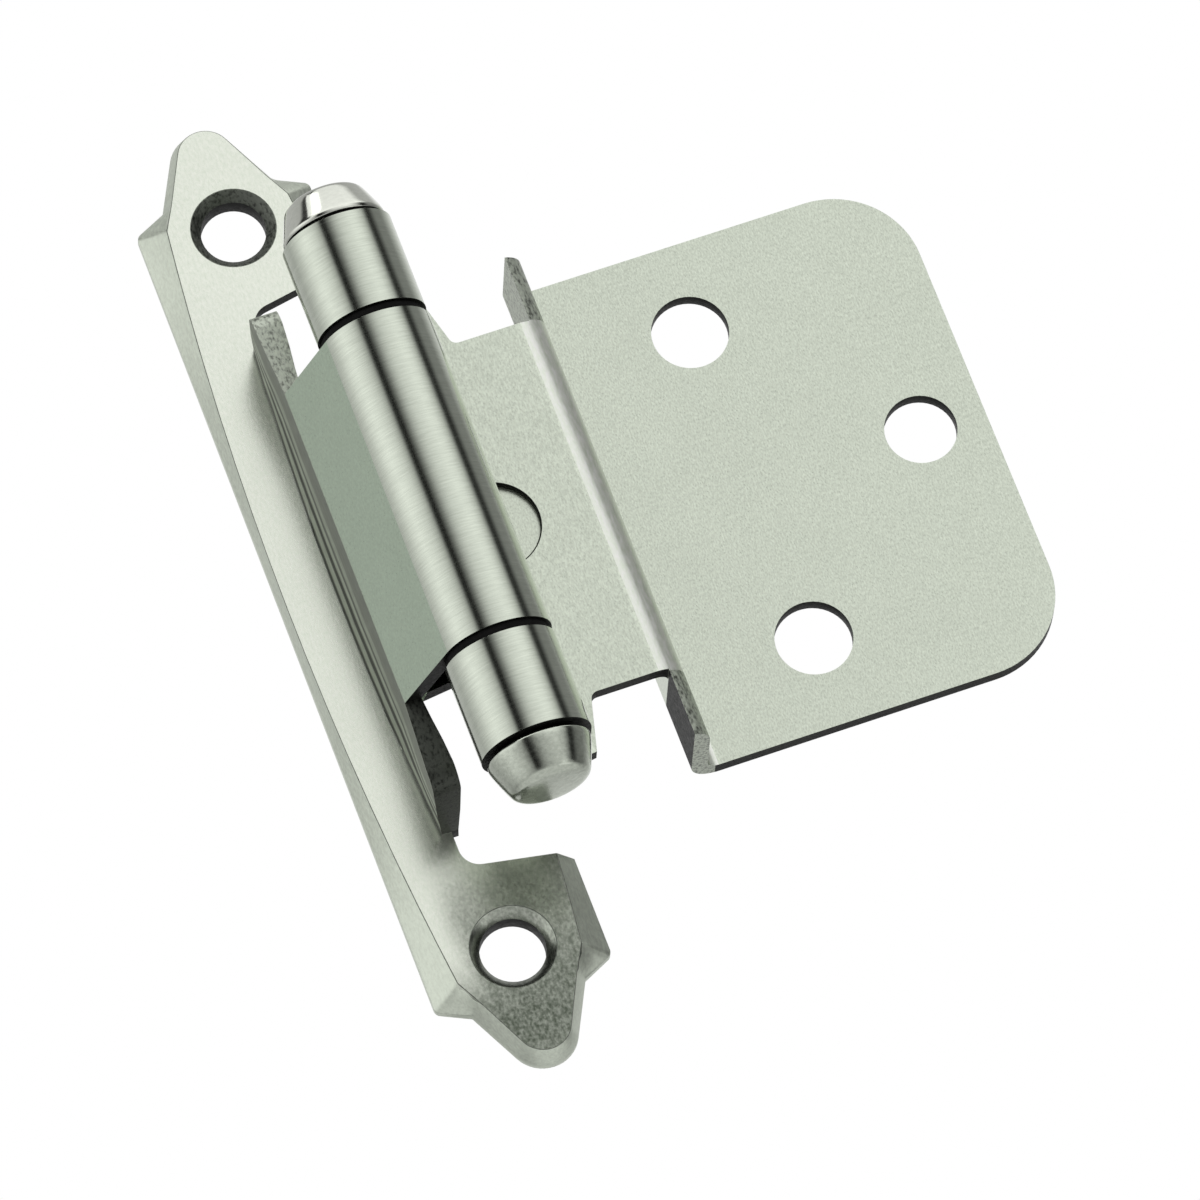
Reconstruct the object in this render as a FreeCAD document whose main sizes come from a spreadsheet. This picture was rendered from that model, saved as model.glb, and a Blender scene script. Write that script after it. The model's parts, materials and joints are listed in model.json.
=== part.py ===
import FreeCAD, Part
import math
import os
from FreeCAD import Placement, Rotation, Vector

# Self-closing cabinet hinge for a lipped (inset) door, in millimetres.
# X runs from the cabinet frame towards the door, Z runs up along the pin, and the
# front of the hinge faces -Y. The origin is midway between the two frame screws,
# on the face of the cabinet. The hinge is drawn shut.

doc = FreeCAD.newDocument("self_closing_hinge")
sheet = doc.addObject("Spreadsheet::Sheet", "dims")

SIZES = {
    # Both wings are bent from the same strip.
    "sheet_thickness": 1.2,
    "bend_radius": 1.0,
    # Frame wing: a leaf with a raised middle, pointed ends and square shoulders.
    "leaf_length": 74.0,
    "leaf_width": 12.8,
    "leaf_rise": 1.0,
    "rim_height": 0.6,
    "shoulder_span": 61.6,
    "shoulder_round": 1.1,
    "neck_width": 8.2,
    "neck_span": 63.8,
    "point_radius": 2.5,
    "skirt_shoulder": 1.9,
    "skirt_middle": 0.25,
    "skirt_point": 0.55,
    "frame_screw_spacing": 57.2,
    "frame_screw_hole": 4.6,
    "frame_screw_sink": 6.0,
    "sink_depth": 0.75,
    # Notch in the leaf that leaves room for the door knuckles.
    "notch_offset": 1.1,
    "notch_span": 44.0,
    "notch_flare": 10.5,
    "notch_round": 1.5,
    # Wall that rises beside the notch. Its foot bows away from the pin.
    "wall_offset": 2.05,
    "wall_height": 9.8,
    "wall_length": 38.6,
    "wall_taper": 0.6,
    "wall_round": 1.5,
    "foot_offset": 1.75,
    "foot_bow": 0.9,
    "tail_gap": 0.1,
    # Barrel.
    "axis_offset": 4.5,
    "axis_height": 14.75,
    "barrel_diameter": 7.9,
    "middle_knuckle": 24.4,
    "door_knuckle": 7.15,
    "knuckle_seam": 0.5,
    # Door wing: plate, step, lip and the riser that carries its two knuckles.
    "plate_length": 38.1,
    "plate_reach": 45.65,
    "plate_corner": 6.35,
    "step_offset": 17.85,
    "step_depth": 7.4,
    "lip_length": 27.8,
    "lip_notch": 10.95,
    "lip_gap": 3.85,
    "lip_corner": 0.6,
    "riser_round": 1.4,
    "riser_stop": 3.4,
    "riser_setback": 1.4,
    "plate_hole": 5.5,
    "plate_hole_spacing": 24.7,
    "plate_hole_offset": 28.25,
    "edge_hole": 5.15,
    "edge_hole_offset": 40.9,
    "seat_diameter": 6.4,
    "seat_depth": 0.6,
    "seat_offset": 8.95,
    # Pin, tips, bushings and spring.
    "pin_diameter": 3.2,
    "pin_seat": 6.0,
    "tip_diameter": 7.3,
    "tip_end_diameter": 6.1,
    "tip_height": 3.3,
    "tip_band": 0.5,
    "tip_round": 0.75,
    "tip_crown": 0.12,
    "tip_gap": 0.35,
    "flange_thickness": 0.6,
    "flange_diameter": 7.5,
    "bushing_length": 3.0,
    "running_clearance": 0.05,
    "wire_diameter": 0.8,
    "spring_turns": 9.0,
    "spring_clearance": 0.12,
}

for row, (alias, value) in enumerate(SIZES.items(), start=1):
    sheet.set("A%d" % row, alias)
    sheet.set("B%d" % row, str(value))
    sheet.setAlias("B%d" % row, alias)
doc.recompute()


def size(alias):
    """The value of one driving dimension."""
    return float(sheet.get(alias))


def plane(body, role):
    """One of a body's own origin planes."""
    for feature in body.Origin.OriginFeatures:
        if feature.Role == role:
            return feature
    raise ValueError(role)


def new_body(label):
    body = doc.addObject("PartDesign::Body", label)
    body.Label = label
    return body


def new_sketch(body, name, role, edges, offset=0.0):
    """A sketch of the given edges on an origin plane, shifted along its normal."""
    sketch = body.newObject("Sketcher::SketchObject", name)
    sketch.AttachmentSupport = [(plane(body, role), "")]
    sketch.MapMode = "FlatFace"
    sketch.AttachmentOffset = Placement(Vector(0, 0, offset), Rotation())
    sketch.addGeometry(edges, False)
    doc.recompute()
    return sketch


def lines(points):
    """Straight edges through the points, closed."""
    edges = []
    for start, end in zip(points, points[1:] + points[:1]):
        edges.append(Part.LineSegment(Vector(*start, 0), Vector(*end, 0)))
    return edges


def pad(body, name, sketch, length):
    """A pad whose length is a formula of the sheet, centred on the sketch plane."""
    feature = body.newObject("PartDesign::Pad", name)
    feature.Profile = sketch
    feature.Midplane = True
    feature.setExpression("Length", length)
    doc.recompute()
    return feature


def pocket(body, name, sketch):
    """A pocket through everything, on both sides of the sketch plane."""
    before = body.Shape.Volume
    feature = body.newObject("PartDesign::Pocket", name)
    feature.Profile = sketch
    feature.Type = "ThroughAll"
    feature.Midplane = True
    doc.recompute()
    if body.Shape.Volume >= before:
        raise RuntimeError(name + " cuts nothing")
    return feature


def trim_back(body, name, sketch):
    """A pocket through everything behind the sketch plane."""
    before = body.Shape.Volume
    feature = body.newObject("PartDesign::Pocket", name)
    feature.Profile = sketch
    feature.Type = "ThroughAll"
    doc.recompute()
    if body.Shape.Volume >= before:
        raise RuntimeError(name + " cuts nothing")
    return feature


def fillet_corner(corner, before, after, radius):
    """Tangent points and mid point of an arc that rounds a corner."""
    to_before = (before - corner).normalize()
    to_after = (after - corner).normalize()
    half = to_before.getAngle(to_after) / 2
    run = radius / math.tan(half)
    bisector = (to_before + to_after).normalize()
    middle = corner + bisector * (radius / math.sin(half) - radius)
    return corner + to_before * run, middle, corner + to_after * run


def rounded_loop(points, radii):
    """Closed loop of lines with an arc at each corner that has a radius."""
    corners = [Vector(x, y, 0) for x, y in points]
    count = len(corners)
    entry = []
    leave = []
    arcs = []
    for i, corner in enumerate(corners):
        if radii[i] > 0:
            start, middle, end = fillet_corner(corner, corners[i - 1], corners[(i + 1) % count], radii[i])
            arcs.append(Part.Arc(start, middle, end))
            entry.append(start)
            leave.append(end)
        else:
            entry.append(corner)
            leave.append(corner)
    edges = list(arcs)
    for i in range(count):
        edges.append(Part.LineSegment(leave[i], entry[(i + 1) % count]))
    return edges


def on_circle(centre, radius, degrees):
    turn = math.radians(degrees)
    return centre + Vector(math.cos(turn), math.sin(turn), 0) * radius


# Frame wing

def leaf_outline(side, point, middle):
    """Outline of the leaf in the XZ plane, drawn in at its shoulders, points and mid length.

    The long sides bow where the shoulders are drawn in more than the middle.
    """
    half = size("leaf_width") / 2
    side_x = half - side
    corner = Vector(side_x, size("shoulder_span") / 2 - side / 2, 0)
    neck = Vector(min(size("neck_width") / 2 - point, side_x - size("shoulder_round") / 2),
                  size("neck_span") / 2 - point / 2, 0)
    radius = size("point_radius") - point
    top = Vector(0, size("leaf_length") / 2 - point, 0)
    centre = top - Vector(0, radius, 0)
    reach = neck - centre
    angle = math.degrees(math.atan2(reach.y, reach.x) + math.acos(radius / reach.Length))
    touch = on_circle(centre, radius, angle)
    crown = on_circle(centre, radius, (angle + 90) / 2)
    start, bend, end = fillet_corner(corner, Vector(side_x, 0, 0), neck, size("shoulder_round") / 2)
    edges = []
    for sx, sz in ((1, 1), (-1, 1), (-1, -1), (1, -1)):

        def place(v):
            return Vector(v.x * sx, v.y * sz, 0)

        edges.append(Part.Arc(place(start), place(bend), place(end)))
        edges.append(Part.LineSegment(place(end), place(neck)))
        edges.append(Part.LineSegment(place(neck), place(touch)))
        edges.append(Part.Arc(place(touch), place(crown), place(top)))
    for sx in (1, -1):
        low = Vector(sx * start.x, -start.y, 0)
        high = Vector(sx * start.x, start.y, 0)
        if side == middle:
            edges.append(Part.LineSegment(low, high))
        else:
            edges.append(Part.Arc(low, Vector(sx * (half - middle), 0, 0), high))
    return edges


def leaf_level(body, name, side, point, middle, height):
    """Sketch of the leaf's outline at a height in front of the cabinet face."""
    return new_sketch(body, name, "XZ_Plane", leaf_outline(side, point, middle), height)


def turn(body, kind, name, sketch):
    """A revolution or groove of a sketch about its own first edge."""
    feature = body.newObject("PartDesign::" + kind, name)
    feature.Profile = sketch
    feature.ReferenceAxis = (sketch, ["Edge1"])
    feature.Angle = 360
    doc.recompute()
    return feature


def loft(body, kind, name, start, end):
    feature = body.newObject("PartDesign::" + kind, name)
    feature.Profile = start
    feature.Sections = [end]
    feature.Ruled = True
    doc.recompute()
    return feature


def tangent_angle(point, centre, radius, side):
    """Angle on the circle where a line from the point touches it, on one side."""
    reach = point - centre
    spread = math.degrees(math.acos(radius / reach.Length))
    return math.degrees(math.atan2(reach.y, reach.x)) + side * spread


def run_to_wall(start, along, wall_from, wall_to, gap):
    """How far a line runs before it comes within a gap of a straight wall."""
    run = (wall_to - wall_from).normalize()
    normal = Vector(run.y, -run.x, 0)
    distance = (wall_from - start).dot(normal)
    closing = along.dot(normal)
    return (abs(distance) - gap) / abs(closing)


def fold_points():
    """Corners and tangent points of the fold's section, seen along the pin."""
    thick = size("sheet_thickness")
    centre = Vector(size("axis_offset"), -size("axis_height"), 0)
    outer = size("barrel_diameter") / 2
    inner = outer - thick
    wall_in = -size("wall_offset") + thick
    crest = -size("wall_height")
    ridge = Vector(-size("wall_offset"), crest, 0)
    ridge_in = Vector(wall_in, crest + thick / 8, 0)
    tail = Vector(wall_in + size("tail_gap"), crest + thick * 0.7, 0)
    panel_out = tangent_angle(ridge, centre, outer, 1)
    panel_in = tangent_angle(ridge_in, centre, inner, 1)
    tail_out = tangent_angle(tail, centre, outer, -1)
    return {
        "centre": centre, "outer": outer, "inner": inner, "ridge": ridge, "ridge_in": ridge_in, "tail": tail,
        "panel_out": panel_out, "panel_in": panel_in, "tail_out": tail_out,
        "first": on_circle(centre, outer, panel_out), "last": on_circle(centre, inner, panel_in),
        "away": on_circle(centre, outer, tail_out), "inner_leave": on_circle(centre, inner, tail_out),
    }


def fold_profile():
    """Section of the fold: top of the wall, steep panel, knuckle round the pin, tail behind it."""
    at = fold_points()
    stub = at["ridge_in"].y + size("sheet_thickness") / 2
    run = (at["tail"] - at["away"]).normalize()
    room = run_to_wall(at["inner_leave"], run, at["last"], at["ridge_in"], size("tail_gap"))
    tail_top = at["inner_leave"] + run * room
    span_out = (at["tail_out"] - at["panel_out"]) % 360
    span_in = (at["tail_out"] - at["panel_in"]) % 360
    middle_out = on_circle(at["centre"], at["outer"], at["panel_out"] + span_out / 2)
    middle_in = on_circle(at["centre"], at["inner"], at["panel_in"] + span_in / 2)
    foot_out = Vector(at["ridge"].x, stub, 0)
    foot_in = Vector(at["ridge_in"].x, stub, 0)
    return [
        Part.LineSegment(foot_in, foot_out),
        Part.LineSegment(foot_out, at["ridge"]),
        Part.LineSegment(at["ridge"], at["first"]),
        Part.Arc(at["first"], middle_out, at["away"]),
        Part.LineSegment(at["away"], at["tail"]),
        Part.LineSegment(at["tail"], tail_top),
        Part.LineSegment(tail_top, at["inner_leave"]),
        Part.Arc(at["inner_leave"], middle_in, at["last"]),
        Part.LineSegment(at["last"], at["ridge_in"]),
        Part.LineSegment(at["ridge_in"], foot_in),
    ]


def wall_level(body, name, offset, bow, height):
    """Footprint of the wall at a height: two parallel lines that bow away from the pin."""
    half = size("wall_length") / 2
    thick = size("sheet_thickness")
    edges = []
    ends = []
    for x in (-offset, thick - offset):
        low = Vector(x, -half, 0)
        high = Vector(x, half, 0)
        edges.append(Part.Arc(low, Vector(x - bow, 0, 0), high))
        ends.append((low, high))
    edges.append(Part.LineSegment(ends[0][0], ends[1][0]))
    edges.append(Part.LineSegment(ends[0][1], ends[1][1]))
    return new_sketch(body, name, "XZ_Plane", edges, height)


def notch_outline():
    """Notch for the barrel: open towards the door, flared that way, with the wall's foot left standing."""
    half = size("notch_span") / 2
    left = -size("notch_offset")
    right = size("leaf_width")
    spread = (right - left) * math.tan(math.radians(size("notch_flare")))
    foot_x = size("sheet_thickness") - size("foot_offset")
    foot_z = size("wall_length") / 2
    edges = [Part.LineSegment(Vector(right, -half - spread, 0), Vector(right, half + spread, 0)),
             Part.Arc(Vector(foot_x, -foot_z, 0), Vector(foot_x - size("foot_bow"), 0, 0),
                      Vector(foot_x, foot_z, 0))]
    for end in (1, -1):
        corner = Vector(left, end * half, 0)
        relief = Vector(left, end * foot_z, 0)
        mouth = Vector(right, end * (half + spread), 0)
        start, bend, stop = fillet_corner(corner, relief, mouth, size("notch_round"))
        edges.append(Part.LineSegment(Vector(foot_x, end * foot_z, 0), relief))
        edges.append(Part.LineSegment(relief, start))
        edges.append(Part.Arc(start, bend, stop))
        edges.append(Part.LineSegment(stop, mouth))
    return edges


def make_frame_wing():
    body = new_body("frame_wing")
    thick = size("sheet_thickness")
    rise = size("leaf_rise")
    face = rise + thick
    rim = size("rim_height")
    side = size("skirt_shoulder")
    point = size("skirt_point")
    middle = size("skirt_middle")
    base = body.newObject("PartDesign::Pad", "leaf_rim")
    base.Profile = leaf_level(body, "leaf_edge", 0, 0, 0, 0)
    base.setExpression("Length", "dims.rim_height")
    doc.recompute()
    low = leaf_level(body, "skirt_foot", 0, 0, 0, rim)
    high = leaf_level(body, "skirt_head", side, point, middle, face)
    loft(body, "AdditiveLoft", "leaf_crown", low, high)
    wall = thick / 2
    hollow_low = leaf_level(body, "hollow_foot", wall, wall, wall, 0)
    hollow_high = leaf_level(body, "hollow_head", side + wall, point + wall, middle + wall, rise)
    loft(body, "SubtractiveLoft", "leaf_hollow", hollow_low, hollow_high)
    pocket(body, "leaf_notch", new_sketch(body, "notch", "XZ_Plane", notch_outline()))

    # The wall rises from a bowed foot to a straight crest, and tapers at both ends.
    crest = size("wall_height")
    foot = wall_level(body, "wall_foot", size("foot_offset"), size("foot_bow"), rise)
    head = wall_level(body, "wall_crest", size("wall_offset"), 0.01, crest)
    loft(body, "AdditiveLoft", "wall", foot, head)
    long_half = size("wall_length") / 2
    for end in (1, -1):
        corner = Vector(-crest, end * (long_half - size("wall_taper")), 0)
        heel = Vector(-face, end * long_half, 0)
        start, bend, stop = fillet_corner(corner, Vector(-crest, 0, 0), heel, size("wall_round"))
        past = end * (long_half + thick)
        pocket(body, "wall_end", new_sketch(body, "wall_trim", "YZ_Plane", [
            Part.Arc(start, bend, stop),
            Part.LineSegment(stop, heel),
            Part.LineSegment(heel, Vector(heel.x, past, 0)),
            Part.LineSegment(Vector(heel.x, past, 0), Vector(-crest - thick, past, 0)),
            Part.LineSegment(Vector(-crest - thick, past, 0), Vector(-crest - thick, start.y, 0)),
            Part.LineSegment(Vector(-crest - thick, start.y, 0), start)]))
    fold = new_sketch(body, "fold", "XY_Plane", fold_profile())
    pad(body, "fold_knuckle", fold, "dims.middle_knuckle")

    # Screw holes: the sheet is dimpled back to the cabinet, with a conical seat for the head.
    spacing = size("frame_screw_spacing") / 2
    hole_r = size("frame_screw_hole") / 2
    sink_r = size("frame_screw_sink") / 2
    depth = size("sink_depth")
    over = thick / 8
    for end in (1, -1):
        centre = end * spacing
        dimple = new_sketch(body, "dimple", "YZ_Plane", lines([
            (-rise - over, centre), (0, centre), (0, centre + hole_r + wall),
            (-rise - over, centre + sink_r + wall)]))
        turn(body, "Revolution", "screw_dimple", dimple)
    circles = [Part.Circle(Vector(0, end * spacing, 0), Vector(0, 0, 1), hole_r) for end in (1, -1)]
    pocket(body, "screw_holes", new_sketch(body, "screw_circles", "XZ_Plane", circles))
    for end in (1, -1):
        centre = end * spacing
        cone = new_sketch(body, "seat", "YZ_Plane", lines([
            (-face + depth, centre), (-face - over, centre), (-face - over, centre + sink_r),
            (-face, centre + sink_r), (-face + depth, centre + hole_r)]))
        turn(body, "Groove", "screw_seat", cone)
    return body


# Door wing

def knuckle_reach():
    """Height along the pin where the door knuckles start and end."""
    start = size("middle_knuckle") / 2 + size("flange_thickness") + size("running_clearance")
    return start, start + size("door_knuckle")


def make_door_wing():
    body = new_body("door_wing")
    thick = size("sheet_thickness")
    bend = size("bend_radius")
    centre = Vector(size("axis_offset"), -size("axis_height"), 0)
    outer = size("barrel_diameter") / 2
    inner = outer - thick
    reach = size("plate_reach")
    wall_right = size("step_offset")
    wall_left = wall_right - thick
    lip_back = -size("lip_gap")
    lip_front = lip_back - thick
    plate_front = lip_front + size("step_depth")
    plate_back = plate_front + thick
    stub = wall_left - bend - thick

    plate = new_sketch(body, "plate_section", "XY_Plane", rounded_loop(
        [(reach, plate_front), (wall_right, plate_front), (wall_right, lip_front), (stub, lip_front),
         (stub, lip_back), (wall_left, lip_back), (wall_left, plate_back), (reach, plate_back)],
        [0, bend, bend + thick, 0, 0, bend, bend + thick, 0]))
    pad(body, "plate_and_step", plate, "dims.plate_length")

    # Lip, riser and the curl that makes the knuckles.
    turn = size("riser_round")
    riser_out = centre.x + outer
    riser_in = centre.x + inner
    stop = math.degrees(math.acos((inner - size("knuckle_seam")) / outer))
    foot_out = Vector(riser_out, lip_front - turn, 0)
    foot_in = Vector(riser_in, lip_back - turn - thick, 0)
    out_centre = Vector(riser_out + turn, lip_front - turn, 0)
    end_out = on_circle(centre, outer, stop)
    end_in = on_circle(centre, inner, stop)
    lip_out = Vector(riser_out + turn, lip_front, 0)
    lip_in = Vector(riser_out + turn, lip_back, 0)
    curl = [
        Part.LineSegment(Vector(stub + 0.5, lip_back, 0), Vector(stub + 0.5, lip_front, 0)),
        Part.LineSegment(Vector(stub + 0.5, lip_front, 0), lip_out),
        Part.Arc(lip_out, on_circle(out_centre, turn, 135), foot_out),
        Part.LineSegment(foot_out, on_circle(centre, outer, 0)),
        Part.Arc(on_circle(centre, outer, 0), on_circle(centre, outer, (stop - 360) / 2), end_out),
        Part.LineSegment(end_out, end_in),
        Part.Arc(end_in, on_circle(centre, inner, (stop - 360) / 2), on_circle(centre, inner, 0)),
        Part.LineSegment(on_circle(centre, inner, 0), foot_in),
        Part.Arc(foot_in, on_circle(out_centre, turn + thick, 135), lip_in),
        Part.LineSegment(lip_in, Vector(stub + 0.5, lip_back, 0)),
    ]
    knuckle_start, knuckle_end = knuckle_reach()
    section = new_sketch(body, "curl_section", "XY_Plane", curl)
    pad(body, "lip_and_knuckles", section,
        "dims.middle_knuckle + 2 * (dims.flange_thickness + dims.running_clearance + dims.door_knuckle)")

    # Between the knuckles the riser stops short of the barrel.
    seam = size("knuckle_seam")
    window = new_sketch(body, "window", "XY_Plane", lines([
        (centre.x - outer * 2, centre.y - outer * 2), (riser_out + thick, centre.y - outer * 2),
        (riser_out + thick, centre.y + size("riser_stop")),
        (riser_in - seam / 2, centre.y + size("riser_stop")), (riser_in - seam / 2, centre.y + outer + seam),
        (centre.x - outer * 2, centre.y + outer + seam)]))
    gap = body.newObject("PartDesign::Pocket", "knuckle_gap")
    gap.Profile = window
    gap.Midplane = True
    gap.setExpression("Length", "dims.middle_knuckle + 2 * (dims.flange_thickness + dims.running_clearance)")
    doc.recompute()

    # The lip is shorter than the plate, so the step stands out as a tab at each end.
    # The riser is set back behind the ends of the knuckles.
    lip_half = size("lip_length") / 2
    notch_x = size("lip_notch")
    bend_end = riser_out + turn
    far = knuckle_end + thick
    set_back = knuckle_end - size("riser_setback")
    inside = riser_in - seam
    for end in (1, -1):
        outline = new_sketch(body, "lip_end", "XZ_Plane", rounded_loop(
            [(notch_x, end * lip_half), (wall_left, end * lip_half), (wall_left, end * far),
             (inside, end * far), (inside, end * set_back), (bend_end, end * (set_back - seam))],
            [size("lip_corner"), 0, 0, 0, 0, 0]), -centre.y - outer - seam / 2)
        trim_back(body, "lip_notch_end", outline)

    # Rounded outer corners and the screw holes of the plate.
    corner = size("plate_corner")
    half = size("plate_length") / 2
    for end in (1, -1):
        middle = Vector(reach - corner, end * (half - corner), 0)
        arc_mid = middle + Vector(math.sqrt(0.5), end * math.sqrt(0.5), 0) * corner
        top = Vector(reach - corner, end * half, 0)
        side = Vector(reach, end * (half - corner), 0)
        past = reach + thick
        cut = new_sketch(body, "corner", "XZ_Plane", [
            Part.Arc(top, arc_mid, side),
            Part.LineSegment(side, Vector(past, side.y, 0)),
            Part.LineSegment(Vector(past, side.y, 0), Vector(past, end * (half + thick), 0)),
            Part.LineSegment(Vector(past, end * (half + thick), 0), Vector(top.x, end * (half + thick), 0)),
            Part.LineSegment(Vector(top.x, end * (half + thick), 0), top)])
        pocket(body, "plate_corner_end", cut)
    spacing = size("plate_hole_spacing") / 2
    holes = [Part.Circle(Vector(size("plate_hole_offset"), end * spacing, 0), Vector(0, 0, 1),
                         size("plate_hole") / 2) for end in (1, -1)]
    holes.append(Part.Circle(Vector(size("edge_hole_offset"), 0, 0), Vector(0, 0, 1), size("edge_hole") / 2))
    pocket(body, "plate_holes", new_sketch(body, "hole_circles", "XZ_Plane", holes))

    # Shallow round seat pressed into the front of the lip, up to the foot of the riser.
    seat_r = size("seat_diameter") / 2
    seat_x = size("seat_offset")
    chord = bend_end - seat_x
    rise = math.sqrt(seat_r ** 2 - chord ** 2)
    low = Vector(bend_end, -rise, 0)
    high = Vector(bend_end, rise, 0)
    seat = new_sketch(body, "seat_outline", "XZ_Plane", [
        Part.Arc(low, Vector(seat_x + seat_r, 0, 0), high), Part.LineSegment(high, low)],
        -lip_front - size("seat_depth"))
    before = body.Shape.Volume
    press = body.newObject("PartDesign::Pocket", "lip_seat")
    press.Profile = seat
    press.Reversed = True
    press.setExpression("Length", "dims.seat_depth * 3")
    doc.recompute()
    if body.Shape.Volume >= before:
        raise RuntimeError("the seat cuts nothing")
    return body


# Pin and what turns on it

def at_axis(obj):
    """Stands an object on the pin's axis."""
    obj.setExpression("Placement.Base.x", "dims.axis_offset")
    obj.setExpression("Placement.Base.y", "-dims.axis_height")


def turned(label, points, arcs=()):
    """A body turned about Z from (radius, height) points; arcs bow the named sides."""
    body = new_body(label)
    corners = [Vector(x, y, 0) for x, y in points]
    bows = dict(arcs)
    edges = []
    for i, corner in enumerate(corners):
        following = corners[(i + 1) % len(corners)]
        if i in bows:
            edges.append(Part.Arc(corner, Vector(*bows[i], 0), following))
        else:
            edges.append(Part.LineSegment(corner, following))
    sketch = new_sketch(body, label + "_section", "XZ_Plane", edges)
    feature = body.newObject("PartDesign::Revolution", label + "_turned")
    feature.Profile = sketch
    feature.ReferenceAxis = (sketch, ["V_Axis"])
    feature.Angle = 360
    doc.recompute()
    at_axis(body)
    return body


def make_tip(label, end):
    """A rounded tip whose shank fills the door knuckle and grips the pin."""
    start, stop = knuckle_reach()
    shank = size("barrel_diameter") / 2 - size("sheet_thickness")
    bore = size("pin_diameter") / 2
    seat = start + size("pin_seat")
    head = size("tip_diameter") / 2
    broad = size("tip_end_diameter") / 2
    rounding = size("tip_round")
    shoulder = stop + size("tip_gap")
    band = shoulder + size("tip_band")
    top = shoulder + size("tip_height")
    edge = top - size("tip_crown")
    flat = broad - rounding
    diagonal = rounding * math.sqrt(0.5)
    points = [
        (bore, start), (shank, start), (shank, shoulder), (head, shoulder), (head, band),
        (broad, edge - rounding), (flat, edge), (0, top), (0, seat), (bore, seat)]
    bows = {
        4: ((head + broad) / 2 + size("tip_crown"), (band + edge - rounding) / 2),
        5: (flat + diagonal, edge - rounding + diagonal),
    }
    points = [(x, end * y) for x, y in points]
    bows = [(i, (x, end * y)) for i, (x, y) in bows.items()]
    return turned(label, points, bows)


def make_bushing(label, end):
    """A flanged bushing between the middle knuckle and a door knuckle."""
    face = size("middle_knuckle") / 2
    bore = size("pin_diameter") / 2 + size("running_clearance")
    sleeve = size("barrel_diameter") / 2 - size("sheet_thickness")
    flange = size("flange_diameter") / 2
    top = face + size("flange_thickness")
    points = [(bore, face - size("bushing_length")), (sleeve, face - size("bushing_length")),
              (sleeve, face), (flange, face), (flange, top), (bore, top)]
    return turned(label, [(x, end * y) for x, y in points])


def spring_radius():
    """Mean radius of the coil, midway between the pin and the knuckle's bore."""
    bore = size("barrel_diameter") / 2 - size("sheet_thickness")
    return (bore + size("pin_diameter") / 2) / 2


def coil_half():
    """Half the height of the coil, which fills the room between the bushings."""
    room = size("middle_knuckle") / 2 - size("bushing_length")
    return room - size("wire_diameter") * 2 - size("spring_clearance")


def make_pin():
    start, _ = knuckle_reach()
    rod = doc.addObject("Part::Cylinder", "pin_rod")
    rod.setExpression("Radius", "dims.pin_diameter / 2")
    length = "(dims.middle_knuckle + 2 * (dims.flange_thickness + dims.running_clearance + dims.pin_seat))"
    rod.setExpression("Height", length)
    rod.setExpression("Placement.Base.z", "-%s / 2" % length)
    slot = doc.addObject("Part::Box", "pin_slot_cutter")
    slot.setExpression("Length", "dims.pin_diameter * 2")
    slot.setExpression("Width", "dims.wire_diameter + 2 * dims.spring_clearance")
    slot.setExpression("Height", "dims.wire_diameter * 2.5")
    slot.setExpression("Placement.Base.x", "-dims.pin_diameter")
    slot.setExpression("Placement.Base.y", "-(dims.wire_diameter + 2 * dims.spring_clearance) / 2")
    slot.Placement.Base.z = -coil_half() - size("wire_diameter") * 1.25
    pin = doc.addObject("Part::Cut", "hinge_pin")
    pin.Label = "hinge_pin"
    pin.Base = rod
    pin.Tool = slot
    at_axis(pin)
    doc.recompute()
    return pin


def make_spring():
    """Torsion spring: a tang through the pin's slot, the coil, and a leg against the panel."""
    wire = size("wire_diameter") / 2
    radius = spring_radius()
    half = coil_half()
    at = fold_points()
    tail_angle = at["tail_out"]
    panel_from = at["last"] - at["centre"]
    panel_to = at["ridge_in"] - at["centre"]
    turns = size("spring_turns") + (tail_angle % 360) / 360
    pitch = 2 * half / turns
    helix = Part.makeHelix(pitch, 2 * half, radius)
    helix.translate(Vector(0, 0, -half))
    rise = pitch / (2 * math.pi * radius)
    profile = Part.Wire(Part.makeCircle(wire, Vector(radius, 0, -half), Vector(0, 1, rise)))
    leave = on_circle(Vector(0, 0, half), radius, tail_angle)
    along = on_circle(Vector(0, 0, 0), 1, tail_angle + 90)
    flat_leave = Vector(leave.x, leave.y, 0)
    room = run_to_wall(flat_leave, along, panel_from, panel_to, wire + size("spring_clearance"))
    leg_end = leave + (along + Vector(0, 0, rise)) * room
    path = Part.Wire([helix.Edges[0], Part.LineSegment(leave, leg_end).toShape()])
    coil = path.makePipeShell([profile], True, True)
    tang_end = Vector(-size("pin_diameter") / 2, 0, -half)
    tang = Part.makeCylinder(wire, radius - tang_end.x, tang_end, Vector(1, 0, 0))
    knob = Part.makeSphere(wire, Vector(radius, 0, -half))
    spring = doc.addObject("Part::Feature", "closing_spring")
    spring.Label = "closing_spring"
    spring.Shape = coil.fuse([tang, knob])
    at_axis(spring)
    doc.recompute()
    return spring


PIECES = [
    make_frame_wing(),
    make_door_wing(),
    make_pin(),
    make_tip("upper_tip", 1),
    make_tip("lower_tip", -1),
    make_bushing("upper_bushing", 1),
    make_bushing("lower_bushing", -1),
    make_spring(),
]

doc.recompute()
for obj in doc.Objects:
    if "Invalid" in obj.State or "Error" in obj.State:
        raise RuntimeError("failed: " + obj.Name)

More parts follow.
